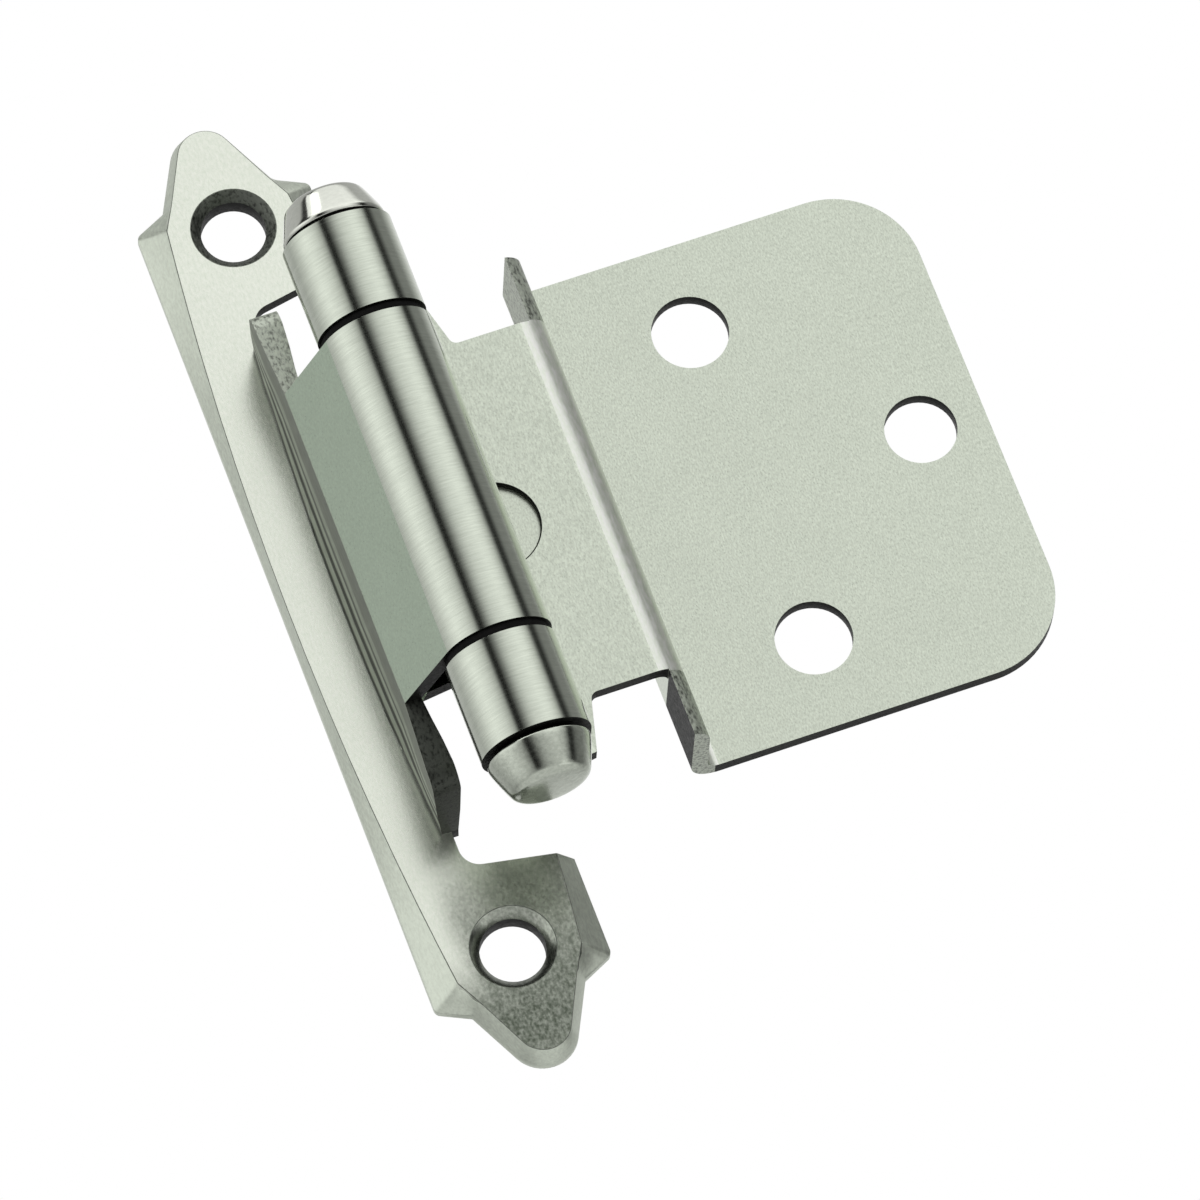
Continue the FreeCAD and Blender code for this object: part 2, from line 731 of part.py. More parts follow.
os.makedirs("parts", exist_ok=True)
for piece in PIECES:
    shape = piece.Shape
    if shape.isNull() or not shape.isValid():
        raise RuntimeError("bad shape: " + piece.Label)
    shape.exportStep(os.path.join("parts", piece.Label + ".step"))
    box = shape.BoundBox
    print(piece.Label, len(shape.Solids), round(shape.Volume, 2),
          [round(v, 2) for v in (box.XMin, box.XMax, box.YMin, box.YMax, box.ZMin, box.ZMax)])
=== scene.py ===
"""The spring loaded door hinge with its finishes, in a white studio, seen as in the photograph."""
import json
import math

import bmesh
import bpy
from mathutils import Matrix, Vector

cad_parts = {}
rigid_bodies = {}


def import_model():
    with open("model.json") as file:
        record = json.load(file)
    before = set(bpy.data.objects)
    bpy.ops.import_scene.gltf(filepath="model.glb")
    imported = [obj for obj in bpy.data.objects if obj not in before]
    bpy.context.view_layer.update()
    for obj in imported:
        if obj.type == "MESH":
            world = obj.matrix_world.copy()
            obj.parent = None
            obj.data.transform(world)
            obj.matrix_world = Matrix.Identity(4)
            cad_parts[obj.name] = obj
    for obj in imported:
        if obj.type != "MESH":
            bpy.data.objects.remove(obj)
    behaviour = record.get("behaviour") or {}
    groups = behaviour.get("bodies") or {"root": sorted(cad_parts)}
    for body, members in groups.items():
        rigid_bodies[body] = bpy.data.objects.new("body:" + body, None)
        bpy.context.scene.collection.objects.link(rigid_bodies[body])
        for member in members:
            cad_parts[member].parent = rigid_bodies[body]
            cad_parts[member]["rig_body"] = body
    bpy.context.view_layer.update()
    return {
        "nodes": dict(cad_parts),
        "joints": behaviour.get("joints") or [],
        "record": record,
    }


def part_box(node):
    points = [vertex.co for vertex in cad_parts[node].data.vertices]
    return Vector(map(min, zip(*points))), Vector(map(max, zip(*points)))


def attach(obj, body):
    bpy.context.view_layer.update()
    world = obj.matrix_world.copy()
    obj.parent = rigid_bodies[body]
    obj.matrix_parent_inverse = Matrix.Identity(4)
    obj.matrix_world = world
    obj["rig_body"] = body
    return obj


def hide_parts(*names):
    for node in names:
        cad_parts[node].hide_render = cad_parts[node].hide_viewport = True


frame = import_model()
nodes = frame["nodes"]
mounts = {m["name"]: m for m in frame["record"]["mounts"]}
pin_axis = Vector(frame["joints"][0]["pos_m"])

# All lengths are in metres, X towards the door, Z up and the front at -Y, as in the frame.
MM = 0.001

# The barrel's radius, half the middle knuckle's length, and a tip's height above its shoulder.
BARREL = 3.95 * MM
KNUCKLE_HALF = 12.2 * MM
TIP_HEIGHT = 3.3 * MM

# The leaf's face, and the plane in front of which the frame wing is all fold.
LEAF_FACE = -2.2 * MM
FOLD_START = LEAF_FACE - 0.3 * MM

# The middle of the wall's sheet, and how far forward its left side is drawn.
WALL_MIDDLE = -1.45 * MM
WALL_TOP = -10 * MM

# How far back the frame's countersinks reach.
SINK_BACK = LEAF_FACE + 0.8 * MM

# A box across the leaf that holds the walls of its notch.
NOTCH_LEFT = -3 * MM
NOTCH_RIGHT = 6.2 * MM
NOTCH_HALF = 26 * MM

# The door wing: the step's place, the lip's front, half its length with a little to spare,
# and the round seat pressed into it, down to a little past its bottom.
STEP_X = 17.85 * MM
LIP_FRONT = -5.05 * MM
LIP_HALF = 13.95 * MM
SEAT_X = 8.95 * MM
SEAT_RADIUS = 3.2 * MM
SEAT_BACK = LIP_FRONT + 0.9 * MM

# Points nearer than WELD are one point, and a point nearer to a plane than ON_PLANE is on it.
WELD = 1e-6
ON_PLANE = 1e-5

# Shares of a normal along an axis: a face beyond ALONG looks that way, one under ACROSS is side-on.
ALONG = 0.9
ACROSS = 0.3


# Node helpers

def add(tree, kind, inputs=None, **settings):
    """A node with its settings, whose inputs are numbers, colours or links."""
    node = tree.nodes.new(kind)
    for key, value in settings.items():
        setattr(node, key, value)
    for key, value in (inputs or {}).items():
        socket = node.inputs[key]
        if isinstance(value, bpy.types.NodeSocket):
            tree.links.new(value, socket)
        else:
            socket.default_value = value
    return node


def maths(tree, operation, first, second):
    return add(tree, "ShaderNodeMath", {0: first, 1: second}, operation=operation).outputs[0]


def rescaled(tree, source, start, stop, low=0.0, high=1.0, **settings):
    """The source's start to stop mapped to low to high, and held there beyond."""
    node = add(tree, "ShaderNodeMapRange", {
        "Value": source, "From Min": start, "From Max": stop, "To Min": low, "To Max": high}, **settings)
    return node.outputs["Result"]


def blended(tree, share, first, second, mode="MIX"):
    """Two colours mixed by a share. A mix node's colours are its inputs 6 and 7 and its output 2."""
    node = add(tree, "ShaderNodeMix", {0: share, 6: first, 7: second}, data_type="RGBA", blend_type=mode)
    return node.outputs[2]


def product(tree, first, second):
    """Two colours multiplied."""
    return blended(tree, 1.0, first, second, "MULTIPLY")


def ramp(tree, source, stops):
    """A colour ramp over the source with (place, grey or colour) stops."""
    node = tree.nodes.new("ShaderNodeValToRGB")
    tree.links.new(source, node.inputs["Fac"])
    while len(node.color_ramp.elements) < len(stops):
        node.color_ramp.elements.new(0.5)
    for element, (place, value) in zip(node.color_ramp.elements, stops):
        element.position = place
        grey = (value, value, value) if isinstance(value, float) else value
        element.color = (*grey, 1)
    return node.outputs["Color"]


# Materials

# Most of a noise's values lie between these two.
NOISE_LOW = 0.3
NOISE_HIGH = 0.7

EVEN = (1.0, 1.0, 1.0)


def own_place(tree):
    """The X, Y and Z of a point in the piece's own coordinates."""
    place = add(tree, "ShaderNodeTexCoord").outputs["Object"]
    return add(tree, "ShaderNodeSeparateXYZ", {"Vector": place}).outputs


def grain(tree, stretch, scale, detail=3.0):
    """Noise on object coordinates, drawn out by the stretch of each axis."""
    place = add(tree, "ShaderNodeTexCoord").outputs["Object"]
    mapped = add(tree, "ShaderNodeMapping", {"Vector": place, "Scale": stretch})
    noise = add(tree, "ShaderNodeTexNoise", {
        "Vector": mapped.outputs["Vector"], "Scale": scale, "Detail": detail, "Roughness": 0.6})
    return noise.outputs["Fac"]


def tones(tree, noise, dark, light):
    """A colour that runs from dark to light over the noise."""
    return ramp(tree, noise, [(NOISE_LOW, dark), (NOISE_HIGH, light)])


def levels(tree, noise, low, high):
    """A number that runs from low to high over the noise."""
    return rescaled(tree, noise, NOISE_LOW, NOISE_HIGH, low, high)


def relief(tree, height, strength, distance):
    bump = add(tree, "ShaderNodeBump", {"Height": height, "Strength": strength, "Distance": distance})
    return bump.outputs["Normal"]


def scaled(colour, share):
    return tuple(c * share for c in colour)


def new_material(name, values):
    """A material with its nodes and its shader, which has these values on its own inputs."""
    material = bpy.data.materials.new(name)
    material.use_nodes = True
    tree = material.node_tree
    shader = tree.nodes["Principled BSDF"]
    for key, value in values.items():
        shader.inputs[key].default_value = value
    return material, tree, shader


def feed(tree, shader, sources):
    """Links each source to the shader's input of that name."""
    for key, source in sources.items():
        tree.links.new(source, shader.inputs[key])


def brushed(name, base, stretch, roughness, contrast, depth, scale=5000.0):
    """Satin metal: fine drawn-out grain in colour, roughness and relief, over faint broad clouds."""
    material, tree, shader = new_material(name, {"Metallic": 1.0})
    fine = grain(tree, stretch, scale)
    light = tuple(min(1.0, c * (1 + contrast)) for c in base)
    tint = tones(tree, fine, scaled(base, 1 - contrast), light)
    cloud = tones(tree, grain(tree, EVEN, 220.0, 2.0), 0.97, 1.0)
    feed(tree, shader, {
        "Base Color": product(tree, tint, cloud),
        "Roughness": levels(tree, fine, roughness * 0.9, roughness * 1.1),
        "Normal": relief(tree, fine, depth, 0.01 * MM)})
    return material


def shade_lower_end(material, shade_colour):
    """Darkens the leaf's lower end with mottled painted shade that leaves its left margin light."""
    tree = material.node_tree
    shader = tree.nodes["Principled BSDF"]
    metal = shader.inputs["Base Color"].links[0].from_socket
    place = own_place(tree)

    def fade(axis, start, stop):
        """0 at the start and 1 at the stop, both in millimetres."""
        return rescaled(tree, place[axis], start * MM, stop * MM, interpolation_type="SMOOTHSTEP")

    tip = fade("Z", -27, -33)
    inside = maths(tree, "MAXIMUM", fade("X", -4.6, -2.2), tip)
    area = maths(tree, "MULTIPLY", fade("Z", -18, -27), inside)
    spots = rescaled(tree, grain(tree, (1, 1, 0.8), 4000.0, 4.0), 0.35, 0.65, -0.13, 0.13)
    clouds = levels(tree, grain(tree, (1, 1, 0.8), 260.0, 2.0), -0.1, 0.1)
    depth = maths(tree, "ADD", maths(tree, "MULTIPLY", tip, 0.22), 0.55)
    mottled = maths(tree, "ADD", depth, maths(tree, "ADD", spots, clouds))
    painted_shade = ramp(tree, maths(tree, "MULTIPLY", area, mottled), [(0.0, 1.0), (1.0, shade_colour)])
    feed(tree, shader, {"Base Color": product(tree, metal, painted_shade)})
    return material


# Greys of the bands of painted shade and highlight that stand for the creases across the wall, from the leaf
# (0) to the crest (1).
WALL_CREASE_SHADING = [
    (0.0, 0.1), (0.08, 0.12), (0.13, 0.95), (0.24, 0.95), (0.28, 0.1), (0.35, 0.1), (0.4, 1.0), (0.46, 1.0),
    (0.49, 0.3), (0.52, 0.3), (0.56, 0.95), (0.63, 0.9), (0.68, 0.55), (0.95, 0.5), (1.0, 0.9)]


def drawn(name, base, foot, crest):
    """Metal of the drawn wall, with fine bands of painted shade and highlight that follow the creases of the
    fold.
    """
    material, tree, shader = new_material(name, {"Metallic": 1.0, "Roughness": 0.38})
    share = rescaled(tree, own_place(tree)["Y"], foot, crest)
    waver = maths(tree, "MULTIPLY", grain(tree, (1, 1, 0.15), 1500.0), 0.05)
    lines = ramp(tree, maths(tree, "ADD", share, waver), WALL_CREASE_SHADING)
    fine = tones(tree, grain(tree, (1, 1, 0.3), 3500.0, 4.0), scaled(base, 0.75), base)
    feed(tree, shader, {"Base Color": product(tree, fine, lines)})
    return material


def sheared(name, base, dark_share, metallic=1.0, specular=0.5):
    """Cut edge of the sheet: mottled, torn and duller than the face."""
    material, tree, shader = new_material(name, {"Metallic": metallic, "Specular IOR Level": specular})
    patches = grain(tree, (1, 1, 0.6), 4200.0, 5.0)
    stops = [(0.35, scaled(base, dark_share)), (0.52, base), (0.75, scaled(base, 1.25))]
    feed(tree, shader, {
        "Base Color": ramp(tree, patches, stops),
        "Roughness": levels(tree, patches, 0.35, 0.6),
        "Normal": relief(tree, patches, 0.6, 0.05 * MM)})
    return material


def nylon(name):
    material, tree, shader = new_material(name, {"Roughness": 0.7, "Specular IOR Level": 0.15})
    feed(tree, shader, {"Base Color": tones(tree, grain(tree, EVEN, 3000.0), 0.002, 0.006)})
    return material


NICKEL = (0.62, 0.665, 0.575)
PLATE = (0.685, 0.74, 0.63)
PANEL = (0.49, 0.585, 0.465)
# The darkest grey of the painted shade on the leaf's lower end.
LOWER_END_SHADE = (0.06, 0.075, 0.055)
POLISHED = (0.74, 0.76, 0.69)
STEEL = (0.33, 0.34, 0.33)


def tinted(share):
    return scaled(NICKEL, share)


# A stretch under 1 draws the grain out along that axis.
LONG_GRAIN = (1.0, 1.0, 0.5)
BEND_GRAIN = (1.0, 1.0, 0.3)
TURNED_GRAIN = (0.12, 0.12, 1.6)

satin_plate = brushed("satin_plate", PLATE, LONG_GRAIN, roughness=0.3, contrast=0.2, depth=0.5, scale=9000.0)
satin_bend = brushed("satin_bend", tinted(1.5), BEND_GRAIN, roughness=0.45, contrast=0.12, depth=0.4)
satin_barrel = brushed("satin_barrel", NICKEL, TURNED_GRAIN, roughness=0.15, contrast=0.08, depth=0.2)
satin_panel = brushed("satin_panel", PANEL, EVEN, roughness=0.3, contrast=0.1, depth=0.3)
leaf_metal = brushed("satin_leaf", tinted(1.45), LONG_GRAIN, roughness=0.24, contrast=0.08, depth=0.4)
# The leaf's metal, with painted shade over its lower end.
satin_leaf = shade_lower_end(leaf_metal, LOWER_END_SHADE)
satin_rim = brushed("satin_rim", tinted(1.2), LONG_GRAIN, roughness=0.42, contrast=0.12, depth=0.5)
# The wall's metal, with painted crease shade and highlight.
drawn_wall = drawn("drawn_wall", tinted(1.3), foot=-2.3 * MM, crest=-10.2 * MM)
# Painted shade: a dark grey for the rounded crease where the leaf's raised face meets its skirt.
crease_shade = sheared("crease_shade", tinted(0.42), dark_share=0.5)
cut_edge = sheared("cut_edge", tinted(0.95), dark_share=0.3)
# Painted shade: the cut edge darkened for the lower end of the fold and for end faces in shade.
shaded_torn_edge = sheared("shaded_torn_edge", tinted(0.14), dark_share=0.3)
# Painted shade: a dark grey for the upper countersink's cone.
shaded_sink_edge = sheared("shaded_sink_edge", tinted(0.3), dark_share=0.3)
# Painted shade: a near-black, dull finish for hole walls, the knuckles' end faces in their gaps, edges that
# face down, the seat's wall and other places in shade.
painted_shade_edge = sheared("painted_shade_edge", tinted(0.02), dark_share=0.3, metallic=0.0, specular=0.1)
polished_tip = brushed("polished_tip", POLISHED, (0.5, 0.5, 1.0), roughness=0.12, contrast=0.05, depth=0.15)
satin_tip = brushed("satin_tip", tinted(0.95), (0.6, 0.6, 1.0), roughness=0.17, contrast=0.14, depth=0.3)
pin_steel = brushed("pin_steel", STEEL, EVEN, roughness=0.4, contrast=0.1, depth=0.3)
spring_wire = brushed("spring_wire", scaled(STEEL, 0.4), EVEN, roughness=0.35, contrast=0.2, depth=0.3)
black_nylon = nylon("black_nylon")


# Mesh helpers

def welded_copy(node):
    """A CAD piece's mesh with its faces joined at their shared points."""
    work = bmesh.new()
    work.from_mesh(nodes[node].data)
    bmesh.ops.remove_doubles(work, verts=work.verts, dist=WELD)
    return work


def flat_copy(node):
    """A CAD piece's mesh with its flat faces whole, ready for its edges to be rounded."""
    work = welded_copy(node)
    bmesh.ops.dissolve_limit(work, angle_limit=math.radians(0.4), verts=work.verts, edges=work.edges)
    return work


def split_at(work, axis, places, wanted):
    """Cuts the wanted faces across an axis at these places, so that each part can have its own finish."""
    across = Vector((0, 0, 0))
    across[axis] = 1
    for place in places:
        faces = [f for f in work.faces if wanted(f.calc_center_bounds(), f.normal)]
        edges = {e for f in faces for e in f.edges}
        verts = {v for f in faces for v in f.verts}
        bmesh.ops.bisect_plane(work, geom=[*verts, *edges, *faces], dist=1e-7,
                               plane_co=across * place, plane_no=across)


def paint(work, finishes, choose):
    """Gives each face the slot of the finish that is chosen by its centre and normal."""
    slots = list(finishes)
    for face in work.faces:
        face.material_index = slots.index(choose(face.calc_center_bounds(), face.normal))


def sharp_edges(work, degrees):
    limit = math.radians(degrees)
    return [e for e in work.edges if len(e.link_faces) == 2 and e.calc_face_angle(0) > limit]


def round_edges(work, edges, width, slot=-1):
    """Rounds the edges. The new faces take this slot, or their neighbours' where it is -1."""
    bmesh.ops.bevel(work, geom=edges, offset=width, segments=2, profile=0.5, affect="EDGES",
                    clamp_overlap=True, offset_type="OFFSET", material=slot)


def dress(node, work, materials):
    """Puts the worked mesh in place of its CAD piece."""
    for face in work.faces:
        face.smooth = True
    mesh = bpy.data.meshes.new(node + "_dressed")
    work.to_mesh(mesh)
    work.free()
    # The CAD piece's own normals don't fit the worked mesh.
    for name in ("custom_normal", "sharp_edge", "sharp_face"):
        if name in mesh.attributes:
            mesh.attributes.remove(mesh.attributes[name])
    mesh.shade_smooth()
    for material in materials:
        mesh.materials.append(material)
    obj = bpy.data.objects.new(node + "_dressed", mesh)
    bpy.context.scene.collection.objects.link(obj)
    weighted = obj.modifiers.new("weighted", "WEIGHTED_NORMAL")
    weighted.keep_sharp = True
    weighted.weight = 60
    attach(obj, nodes[node]["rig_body"])
    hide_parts(node)


def near_axis(point, radius):
    return math.hypot(point.x - pin_axis.x, point.y - pin_axis.y) < radius


def upright(normal):
    """Whether a face looks sideways rather than up or down."""
    return abs(normal.z) < 0.5


def holes_of(mount, radius):
    """The X and Z of a mount's holes, each with a radius a little wider than the hole."""
    place = Vector(mounts[mount]["pos_m"])
    spacing = mounts[mount]["dims"].get("spacing_y_mm", 0) * MM / 2
    return [(place.x, place.z + side * spacing, radius) for side in ((1, -1) if spacing else (1,))]


FRAME_HOLES = holes_of("frame_screws", 2.35 * MM)
FRAME_SINKS = holes_of("frame_screws", 3.1 * MM)
DOOR_HOLES = holes_of("door_screws", 2.8 * MM) + holes_of("door_edge_hole", 2.62 * MM)


def in_hole(point, holes):
    return any(math.hypot(point.x - x, point.z - z) < r for x, z, r in holes)


# Widths of the rounded edges.
EDGE_WIDTH = 0.09 * MM
SMALL_EDGE_WIDTH = 0.06 * MM
CREASE_WIDTH = 0.14 * MM
SEAT_EDGE_WIDTH = 0.11 * MM

# The least angle of an edge that is rounded, in degrees.
SHARP = 40


# The frame wing

# How far the wall's crest spreads to the left and the right, how far past the knuckle's end
# that starts, and the length and the height over which it grows.
CREST_LEFT = -0.3 * MM
CREST_RIGHT = 0.45 * MM
CREST_START = 0.4 * MM
CREST_RUN = 4 * MM
CREST_RISE = 5 * MM


def widen_crest(work):
    """The free ends of the wall's crest spread a little to both sides."""
    for vert in work.verts:
        beyond = (abs(vert.co.z) - KNUCKLE_HALF - CREST_START) / CREST_RUN
        raised = (LEAF_FACE - vert.co.y) / CREST_RISE
        if beyond > 0 and raised > 0 and vert.co.x < pin_axis.x - BARREL:
            spread = CREST_LEFT if vert.co.x < WALL_MIDDLE else CREST_RIGHT
            vert.co.x += spread * min(1.0, beyond) * min(1.0, raised)


# The dark, torn, sink and crease finishes are darkened with painted shade.
FRAME_FINISHES = {
    "leaf": satin_leaf, "barrel": satin_barrel, "cut": cut_edge, "dark": painted_shade_edge, "panel": satin_panel,
    "sink": shaded_sink_edge, "wall": drawn_wall, "torn": shaded_torn_edge, "crease": crease_shade, "rim": satin_rim}


def fold_finish(centre, normal):
    """The finish of a face of the wall, the panel or the middle knuckle."""
    # The knuckle's end faces are painted black for the shade in its gaps.
    if near_axis(centre, BARREL + 0.3 * MM):
        return "barrel" if upright(normal) else "dark"
    if normal.x < -ALONG and centre.y > WALL_TOP:
        return "wall"
    # Beyond the knuckle the upper parts are plain cut edges and the lower ones cut edges darkened with
    # painted shade.
    if abs(centre.z) > KNUCKLE_HALF + 0.02 * MM:
        return "cut" if centre.z > 0 else "torn"
    # Faces that look up or down are darkened with painted shade.
    return "panel" if upright(normal) else "torn"


def frame_finish(centre, normal):
    """The finish of a face of the frame wing."""
    if centre.y < FOLD_START:
        return fold_finish(centre, normal)
    # Hole walls are painted black for the shade inside the holes.
    if in_hole(centre, FRAME_HOLES) and abs(normal.y) < ACROSS:
        return "dark"
    # The upper countersink's cone is darkened with painted shade; the lower one keeps the leaf's metal.
    if in_hole(centre, FRAME_SINKS) and abs(normal.y) < ALONG and centre.y < SINK_BACK:
        return "sink" if centre.z > 0 else "leaf"
    in_notch = abs(centre.z) < NOTCH_HALF and NOTCH_LEFT < centre.x < NOTCH_RIGHT
    # Notch walls that face down are painted black for their shade.
    if in_notch and abs(normal.y) < 1e-3:
        return "dark" if normal.z < -0.2 else "cut"
    slopes = -0.95 < normal.y < 0.1
    return "rim" if slopes and centre.y > LEAF_FACE + 0.1 * MM else "leaf"


def face_rim(work):
    """The edges where the leaf's raised face meets the slope of its skirt."""
    rim = []
    for edge in sharp_edges(work, 12):
        flat, slope = sorted(f.normal.y for f in edge.link_faces)
        on_face = all(abs(v.co.y - LEAF_FACE) < ON_PLANE for v in edge.verts)
        if on_face and flat < -0.99 and -0.93 < slope < -0.05:
            rim.append(edge)
    return rim


def dress_frame_wing():
    """The leaf with its creased rim, the wall, the panel and the middle knuckle."""
    work = flat_copy("frame_wing")
    split_at(work, 2, (-KNUCKLE_HALF, KNUCKLE_HALF), lambda centre, normal: (
        centre.x < pin_axis.x - BARREL and centre.y < FOLD_START and upright(normal)))
    paint(work, FRAME_FINISHES, frame_finish)
    widen_crest(work)
    # The crease is rounded and takes the painted crease shade.
    round_edges(work, face_rim(work), CREASE_WIDTH, list(FRAME_FINISHES).index("crease"))
    round_edges(work, sharp_edges(work, SHARP), EDGE_WIDTH)
    dress("frame_wing", work, FRAME_FINISHES.values())


# The door wing

# The dark finish is painted shade.
DOOR_FINISHES = {
    "plate": satin_plate, "barrel": satin_barrel, "cut": cut_edge, "dark": painted_shade_edge, "bend": satin_bend}

# How far the step, its tabs and its bend reach from its middle along X, and how far back the tabs do.
STEP_REACH = 3 * MM
TAB_REACH = 2.5 * MM
BEND_REACH = 2 * MM
TAB_BACK = 2 * MM

# Where the plate's end faces begin along Z, and where they are split from those of the tabs along X.
PLATE_END = 18 * MM
TAB_SPLIT = STEP_X + 0.6 * MM


def door_finish(centre, normal):
    """The finish of a face of the door wing."""
    from_step = abs(centre.x - STEP_X)
    tab = from_step < TAB_REACH and abs(centre.z) > LIP_HALF and centre.y < TAB_BACK
    plate_side = abs(normal.y) < 0.01 and centre.x > STEP_X + BEND_REACH
    before_step = centre.x < STEP_X - 4 * MM
    # The knuckles' end faces and the hole walls are painted black for their shade, and so is the lower tab's
    # left face, for the lip's shadow.
    if near_axis(centre, BARREL + 0.1 * MM):
        return "barrel" if upright(normal) else "dark"
    if in_hole(centre, DOOR_HOLES) and abs(normal.y) < ACROSS:
        return "dark"
    if tab and normal.x < -ALONG and centre.z < 0:
        return "dark"
    if tab and (normal.x < ALONG or normal.y < -0.2):
        return "cut"
    # Edges that face down are painted black for their shade; the other edges are cut edges.
    if plate_side or not upright(normal):
        return "dark" if normal.z < -0.5 else "cut"
    # The seat's wall is painted black for its shade.
    if before_step and abs(normal.y) < ACROSS and LIP_FRONT < centre.y < SEAT_BACK:
        return "dark"
    if from_step < BEND_REACH and normal.x > 0.1 and normal.y < -0.1:
        return "bend"
    return "plate"


def seat_edge(work):
    """The edges round the seat's mouth, on the lip's front."""
    seat = []
    for edge in sharp_edges(work, 60):
        reach = [abs(math.hypot(v.co.x - SEAT_X, v.co.z) - SEAT_RADIUS) for v in edge.verts]
        if max(reach) < 0.05 * MM and all(abs(v.co.y - LIP_FRONT) < ON_PLANE for v in edge.verts):
            seat.append(edge)
    return seat


def dress_door_wing():
    """The plate, the step, the lip with its round seat, and the two door knuckles."""
    work = flat_copy("door_wing")
    tab_end = LIP_HALF + 0.05 * MM
    split_at(work, 2, (-tab_end, tab_end), lambda centre, normal: (
        abs(centre.x - STEP_X) < STEP_REACH and upright(normal)))
    split_at(work, 0, (TAB_SPLIT,), lambda centre, normal: (
        abs(normal.z) > ALONG and abs(centre.z) > PLATE_END))
    paint(work, DOOR_FINISHES, door_finish)
    # The seat's mouth is rounded in the black painted shade.
    round_edges(work, seat_edge(work), SEAT_EDGE_WIDTH, list(DOOR_FINISHES).index("dark"))
    round_edges(work, sharp_edges(work, SHARP), EDGE_WIDTH)
    dress("door_wing", work, DOOR_FINISHES.values())


# The tips

# Radius and height above the shoulder of a tip's head, in millimetres.
HEAD_PROFILE = [(3.60, 0.0), (3.68, 0.14), (3.66, 0.4), (3.46, 1.0), (3.22, 1.65), (2.98, 2.25), (2.78, 2.58),
                (2.4, 2.8), (1.8, 2.88), (0.8, 2.92), (0.25, 2.93)]
PROFILE_STEPS = 4


def between(before, start, stop, after, t):
    """A coordinate of the Catmull-Rom curve from start, where t is 0, to stop, where it is 1."""
    bend = 2 * before - 5 * start + 4 * stop - after
    twist = 3 * start - before - 3 * stop + after
    return 0.5 * (2 * start + (stop - before) * t + bend * t * t + twist * t ** 3)


def smooth_profile(points, steps):
    """A smooth line through the points, with this many steps between each two."""
    ends = [points[0]] + points + [points[-1]]
    line = []
    for before, start, stop, after in zip(ends, ends[1:], ends[2:], ends[3:]):
        for i in range(steps):
            line.append(tuple(between(*four, i / steps) for four in zip(before, start, stop, after)))
    return line + [points[-1]]


def dress_tip(node, material, stretch):
    """Keeps the tip's shank and turns a softly domed head in place of the plain one."""
    work = welded_copy(node)
    low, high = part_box(node)
    side = 1 if high.z > 0 else -1
    shoulder = max(abs(low.z), abs(high.z)) - TIP_HEIGHT
    head = [f for f in work.faces if all(v.co.z * side > shoulder - WELD for v in f.verts)]
    bmesh.ops.delete(work, geom=head, context="FACES")
    bmesh.ops.delete(work, geom=[v for v in work.verts if not v.link_faces], context="VERTS")
    ring = [e for e in work.edges if e.is_boundary]
    for radius, height in smooth_profile(HEAD_PROFILE, PROFILE_STEPS):
        made = bmesh.ops.extrude_edge_only(work, edges=ring)["geom"]
        for vert in (v for v in made if isinstance(v, bmesh.types.BMVert)):
            place = Vector((vert.co.x - pin_axis.x, vert.co.y - pin_axis.y, 0)).normalized() * radius * MM
            level = side * (shoulder + height * stretch * MM)
            vert.co = Vector((pin_axis.x + place.x, pin_axis.y + place.y, level))
        ring = [e for e in made if isinstance(e, bmesh.types.BMEdge) and e.is_boundary]
    bmesh.ops.contextual_create(work, geom=ring)
    # The shank and the shoulder take the black painted shade.
    for face in work.faces:
        on_head = face.calc_center_median().z * side > shoulder + 0.02 * MM
        face.material_index = 0 if on_head else 1
    bmesh.ops.recalc_face_normals(work, faces=work.faces)
    dress(node, work, [material, painted_shade_edge])


# The pin, the bushings and the spring

def finish(node, material):
    """Gives a CAD piece its material."""
    nodes[node].data.materials.clear()
    nodes[node].data.materials.append(material)


def soften(node):
    """Gives a CAD piece small rounded edges."""
    weld = nodes[node].modifiers.new("weld", "WELD")
    weld.merge_threshold = WELD
    bevel = nodes[node].modifiers.new("edges", "BEVEL")
    bevel.width = SMALL_EDGE_WIDTH
    bevel.segments = 2
    bevel.limit_method = "ANGLE"
    bevel.angle_limit = math.radians(35)
    bevel.harden_normals = True


dress_frame_wing()
dress_door_wing()
dress_tip("upper_tip", polished_tip, 0.94)
dress_tip("lower_tip", satin_tip, 1.0)
finish("hinge_pin", pin_steel)
finish("upper_bushing", black_nylon)
finish("lower_bushing", black_nylon)
for name in ("hinge_pin", "upper_bushing", "lower_bushing"):
    soften(name)
finish("closing_spring", spring_wire)


# Surroundings

# The studio is given by direction. Turns are in degrees from the front, where 0 is -Y and 90 is +X,
# and heights are the Z of a direction, from -1 for straight down to 1 for straight up.
# AROUND is the brightness by turn. OVERHEAD begins to take its place at the height OVERHEAD_START,
# and has done so from OVERHEAD_FULL up.
AROUND = [
    (-180, 0.95), (-165, 0.8), (-150, 0.55), (-125, 0.51), (-105, 0.71), (-89, 0.95), (-75, 1.08), (-62, 1.0),
    (-49, 0.82), (-37, 0.5), (-30, 0.0), (-22, 0.0), (-14, 0.2), (-3, 0.57), (8, 0.82), (20, 0.95),
    (32, 1.05), (44, 0.98), (57, 0.64), (68, 0.02), (76, 0.02), (88, 0.24), (107, 0.25), (140, 0.75),
    (180, 0.95)]
OVERHEAD = [
    (-180, 0.5), (-95, 0.5), (-86, 0.03), (-56, 0.03), (-50, 1.1), (80, 1.1), (100, 0.45), (180, 0.5)]
OVERHEAD_START = 0.52
OVERHEAD_FULL = 0.62

# Share of that brightness by height, from straight down (0) to straight up (1).
HEIGHT = [(0.0, 0.3), (0.25, 0.55), (0.6, 1.0), (0.85, 1.0), (1.0, 0.8)]

# The ground is one grey, which starts below the first height and is whole from the second down.
GROUND = (0.62, 0.62, 0.62, 1)
GROUND_START = -0.45
GROUND_FULL = -0.75


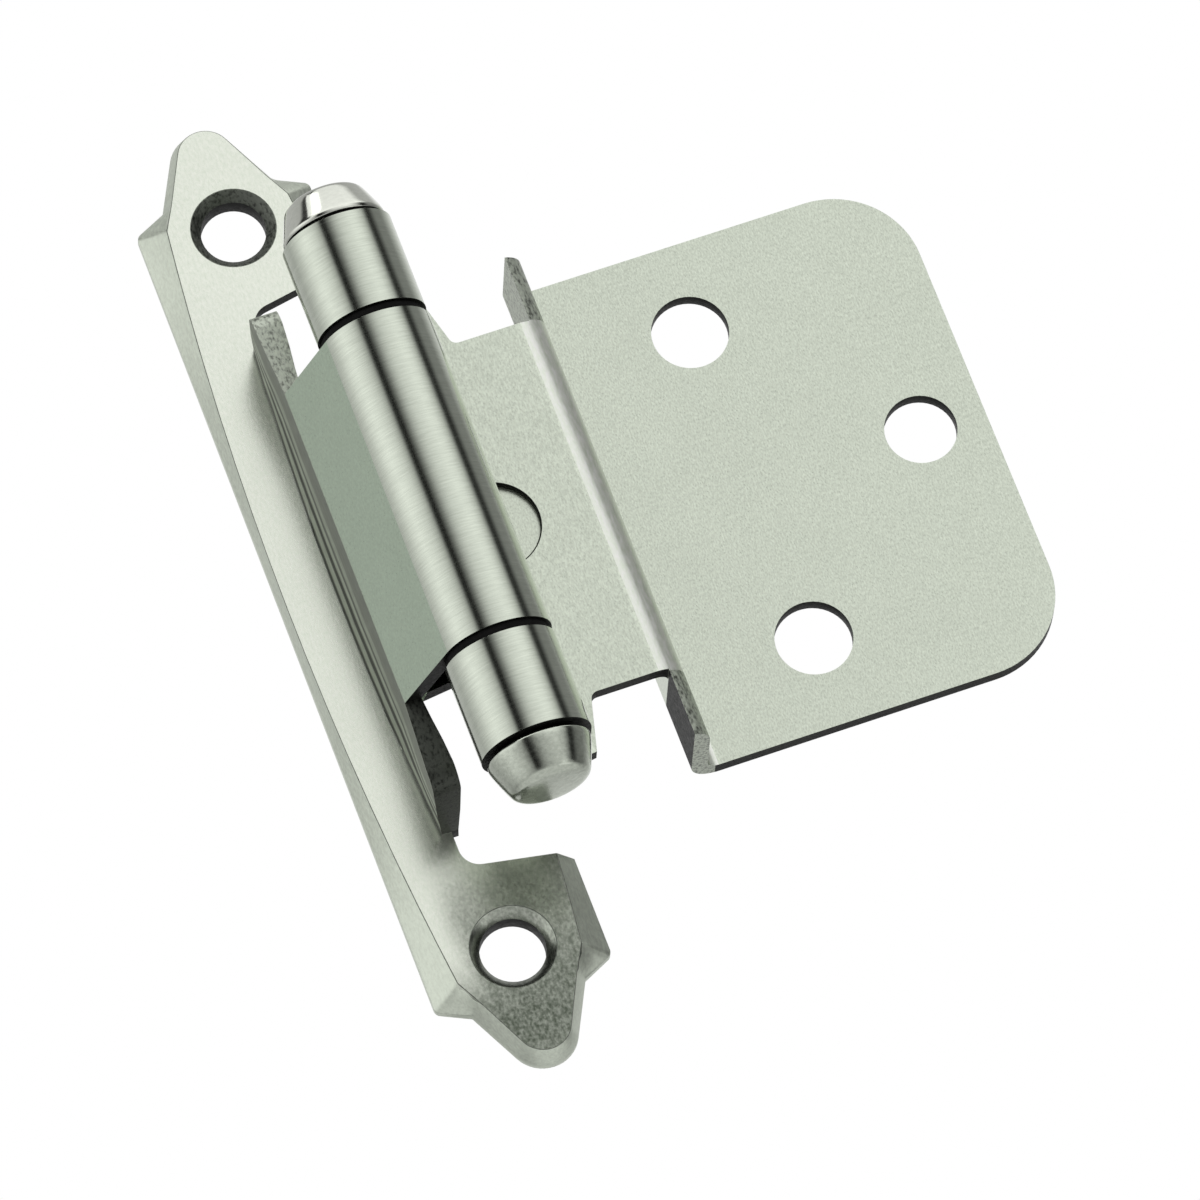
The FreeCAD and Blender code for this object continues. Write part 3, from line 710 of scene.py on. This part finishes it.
def environment():
    """White for the camera; for reflections a studio of soft boxes and dark gaps by direction."""
    world = bpy.data.worlds.new("studio")
    bpy.context.scene.world = world
    world.use_nodes = True
    tree = world.node_tree
    tree.nodes.clear()
    way = add(tree, "ShaderNodeTexCoord").outputs["Generated"]
    parts = add(tree, "ShaderNodeSeparateXYZ", {"Vector": way}).outputs
    azimuth = maths(tree, "ARCTAN2", parts["X"], maths(tree, "MULTIPLY", parts["Y"], -1.0))
    turn_share = rescaled(tree, azimuth, -math.pi, math.pi)

    def by_turn(brightness):
        return ramp(tree, turn_share, [(degrees / 360 + 0.5, value) for degrees, value in brightness])

    high = rescaled(tree, parts["Z"], OVERHEAD_START, OVERHEAD_FULL)
    sides = blended(tree, high, by_turn(AROUND), by_turn(OVERHEAD))
    seen = product(tree, sides, ramp(tree, rescaled(tree, parts["Z"], -1.0, 1.0), HEIGHT))
    below = rescaled(tree, parts["Z"], GROUND_START, GROUND_FULL)
    lit = blended(tree, below, seen, GROUND)
    room = add(tree, "ShaderNodeBackground", {"Color": lit, "Strength": 1.05})
    blank = add(tree, "ShaderNodeBackground", {"Color": (1, 1, 1, 1), "Strength": 1.0})
    ray = add(tree, "ShaderNodeLightPath").outputs["Is Camera Ray"]
    both = add(tree, "ShaderNodeMixShader", {0: ray, 1: room.outputs[0], 2: blank.outputs[0]})
    add(tree, "ShaderNodeOutputWorld", {"Surface": both.outputs[0]})


def lamp(name, place, target, size, power):
    """A square soft box that faces the target."""
    data = bpy.data.lights.new(name, "AREA")
    data.shape = "SQUARE"
    data.size = size
    data.energy = power
    obj = bpy.data.objects.new(name, data)
    obj.location = place
    obj.rotation_euler = (Vector(target) - Vector(place)).to_track_quat("-Z", "Y").to_euler()
    bpy.context.scene.collection.objects.link(obj)


FLOOR_HALF = 6.0
FLOOR_Z = -0.6


def lay_floor():
    """A wide pale floor below the view, left out of the metal's reflections."""
    corners = [(x * FLOOR_HALF, y * FLOOR_HALF, FLOOR_Z) for x, y in ((-1, -1), (1, -1), (1, 1), (-1, 1))]
    mesh = bpy.data.meshes.new("floor")
    mesh.from_pydata(corners, [], [(0, 1, 2, 3)])
    pale, tree, shader = new_material("pale_floor", {"Roughness": 0.9})
    feed(tree, shader, {"Base Color": tones(tree, grain(tree, EVEN, 3.0), 0.84, 0.88)})
    mesh.materials.append(pale)
    floor = bpy.data.objects.new("floor", mesh)
    bpy.context.scene.collection.objects.link(floor)
    floor.visible_glossy = False


environment()
lamp("key", (-0.25, -0.25, 0.7), (0.01, 0, 0), size=0.3, power=0.3)
lamp("fill", (0.5, -0.3, -0.45), (0.02, 0, 0), size=0.4, power=0.15)
lay_floor()


# Camera, at the photograph's view

# The turn from the frame's axes to the view's right, down and forward, as a rotation vector.
TURN = Vector((1.15964, -0.32915, -0.17862))
# Where the view has the point about which it was worked out, along those three.
PLACE = Vector((-16.3034, -1.68261, 757.48406)) * MM
# Where the frame's origin lies from that point.
ORIGIN_SHIFT = Vector((0.617, 3.848, 0)) * MM
LENS = 330
SENSOR = 36

turn = Matrix.Rotation(TURN.length, 3, TURN.normalized())
camera_data = bpy.data.cameras.new("camera")
camera_data.lens = LENS
camera_data.sensor_width = SENSOR
camera_data.clip_start = 0.01
camera_data.clip_end = 50
camera = bpy.data.objects.new("camera", camera_data)
bpy.context.scene.collection.objects.link(camera)
axes = Matrix((turn[0], -turn[1], -turn[2])).transposed()
camera.matrix_world = Matrix.Translation(-(turn.transposed() @ PLACE) - ORIGIN_SHIFT) @ axes.to_4x4()
bpy.context.scene.camera = camera
bpy.context.scene.view_settings.view_transform = "Standard"
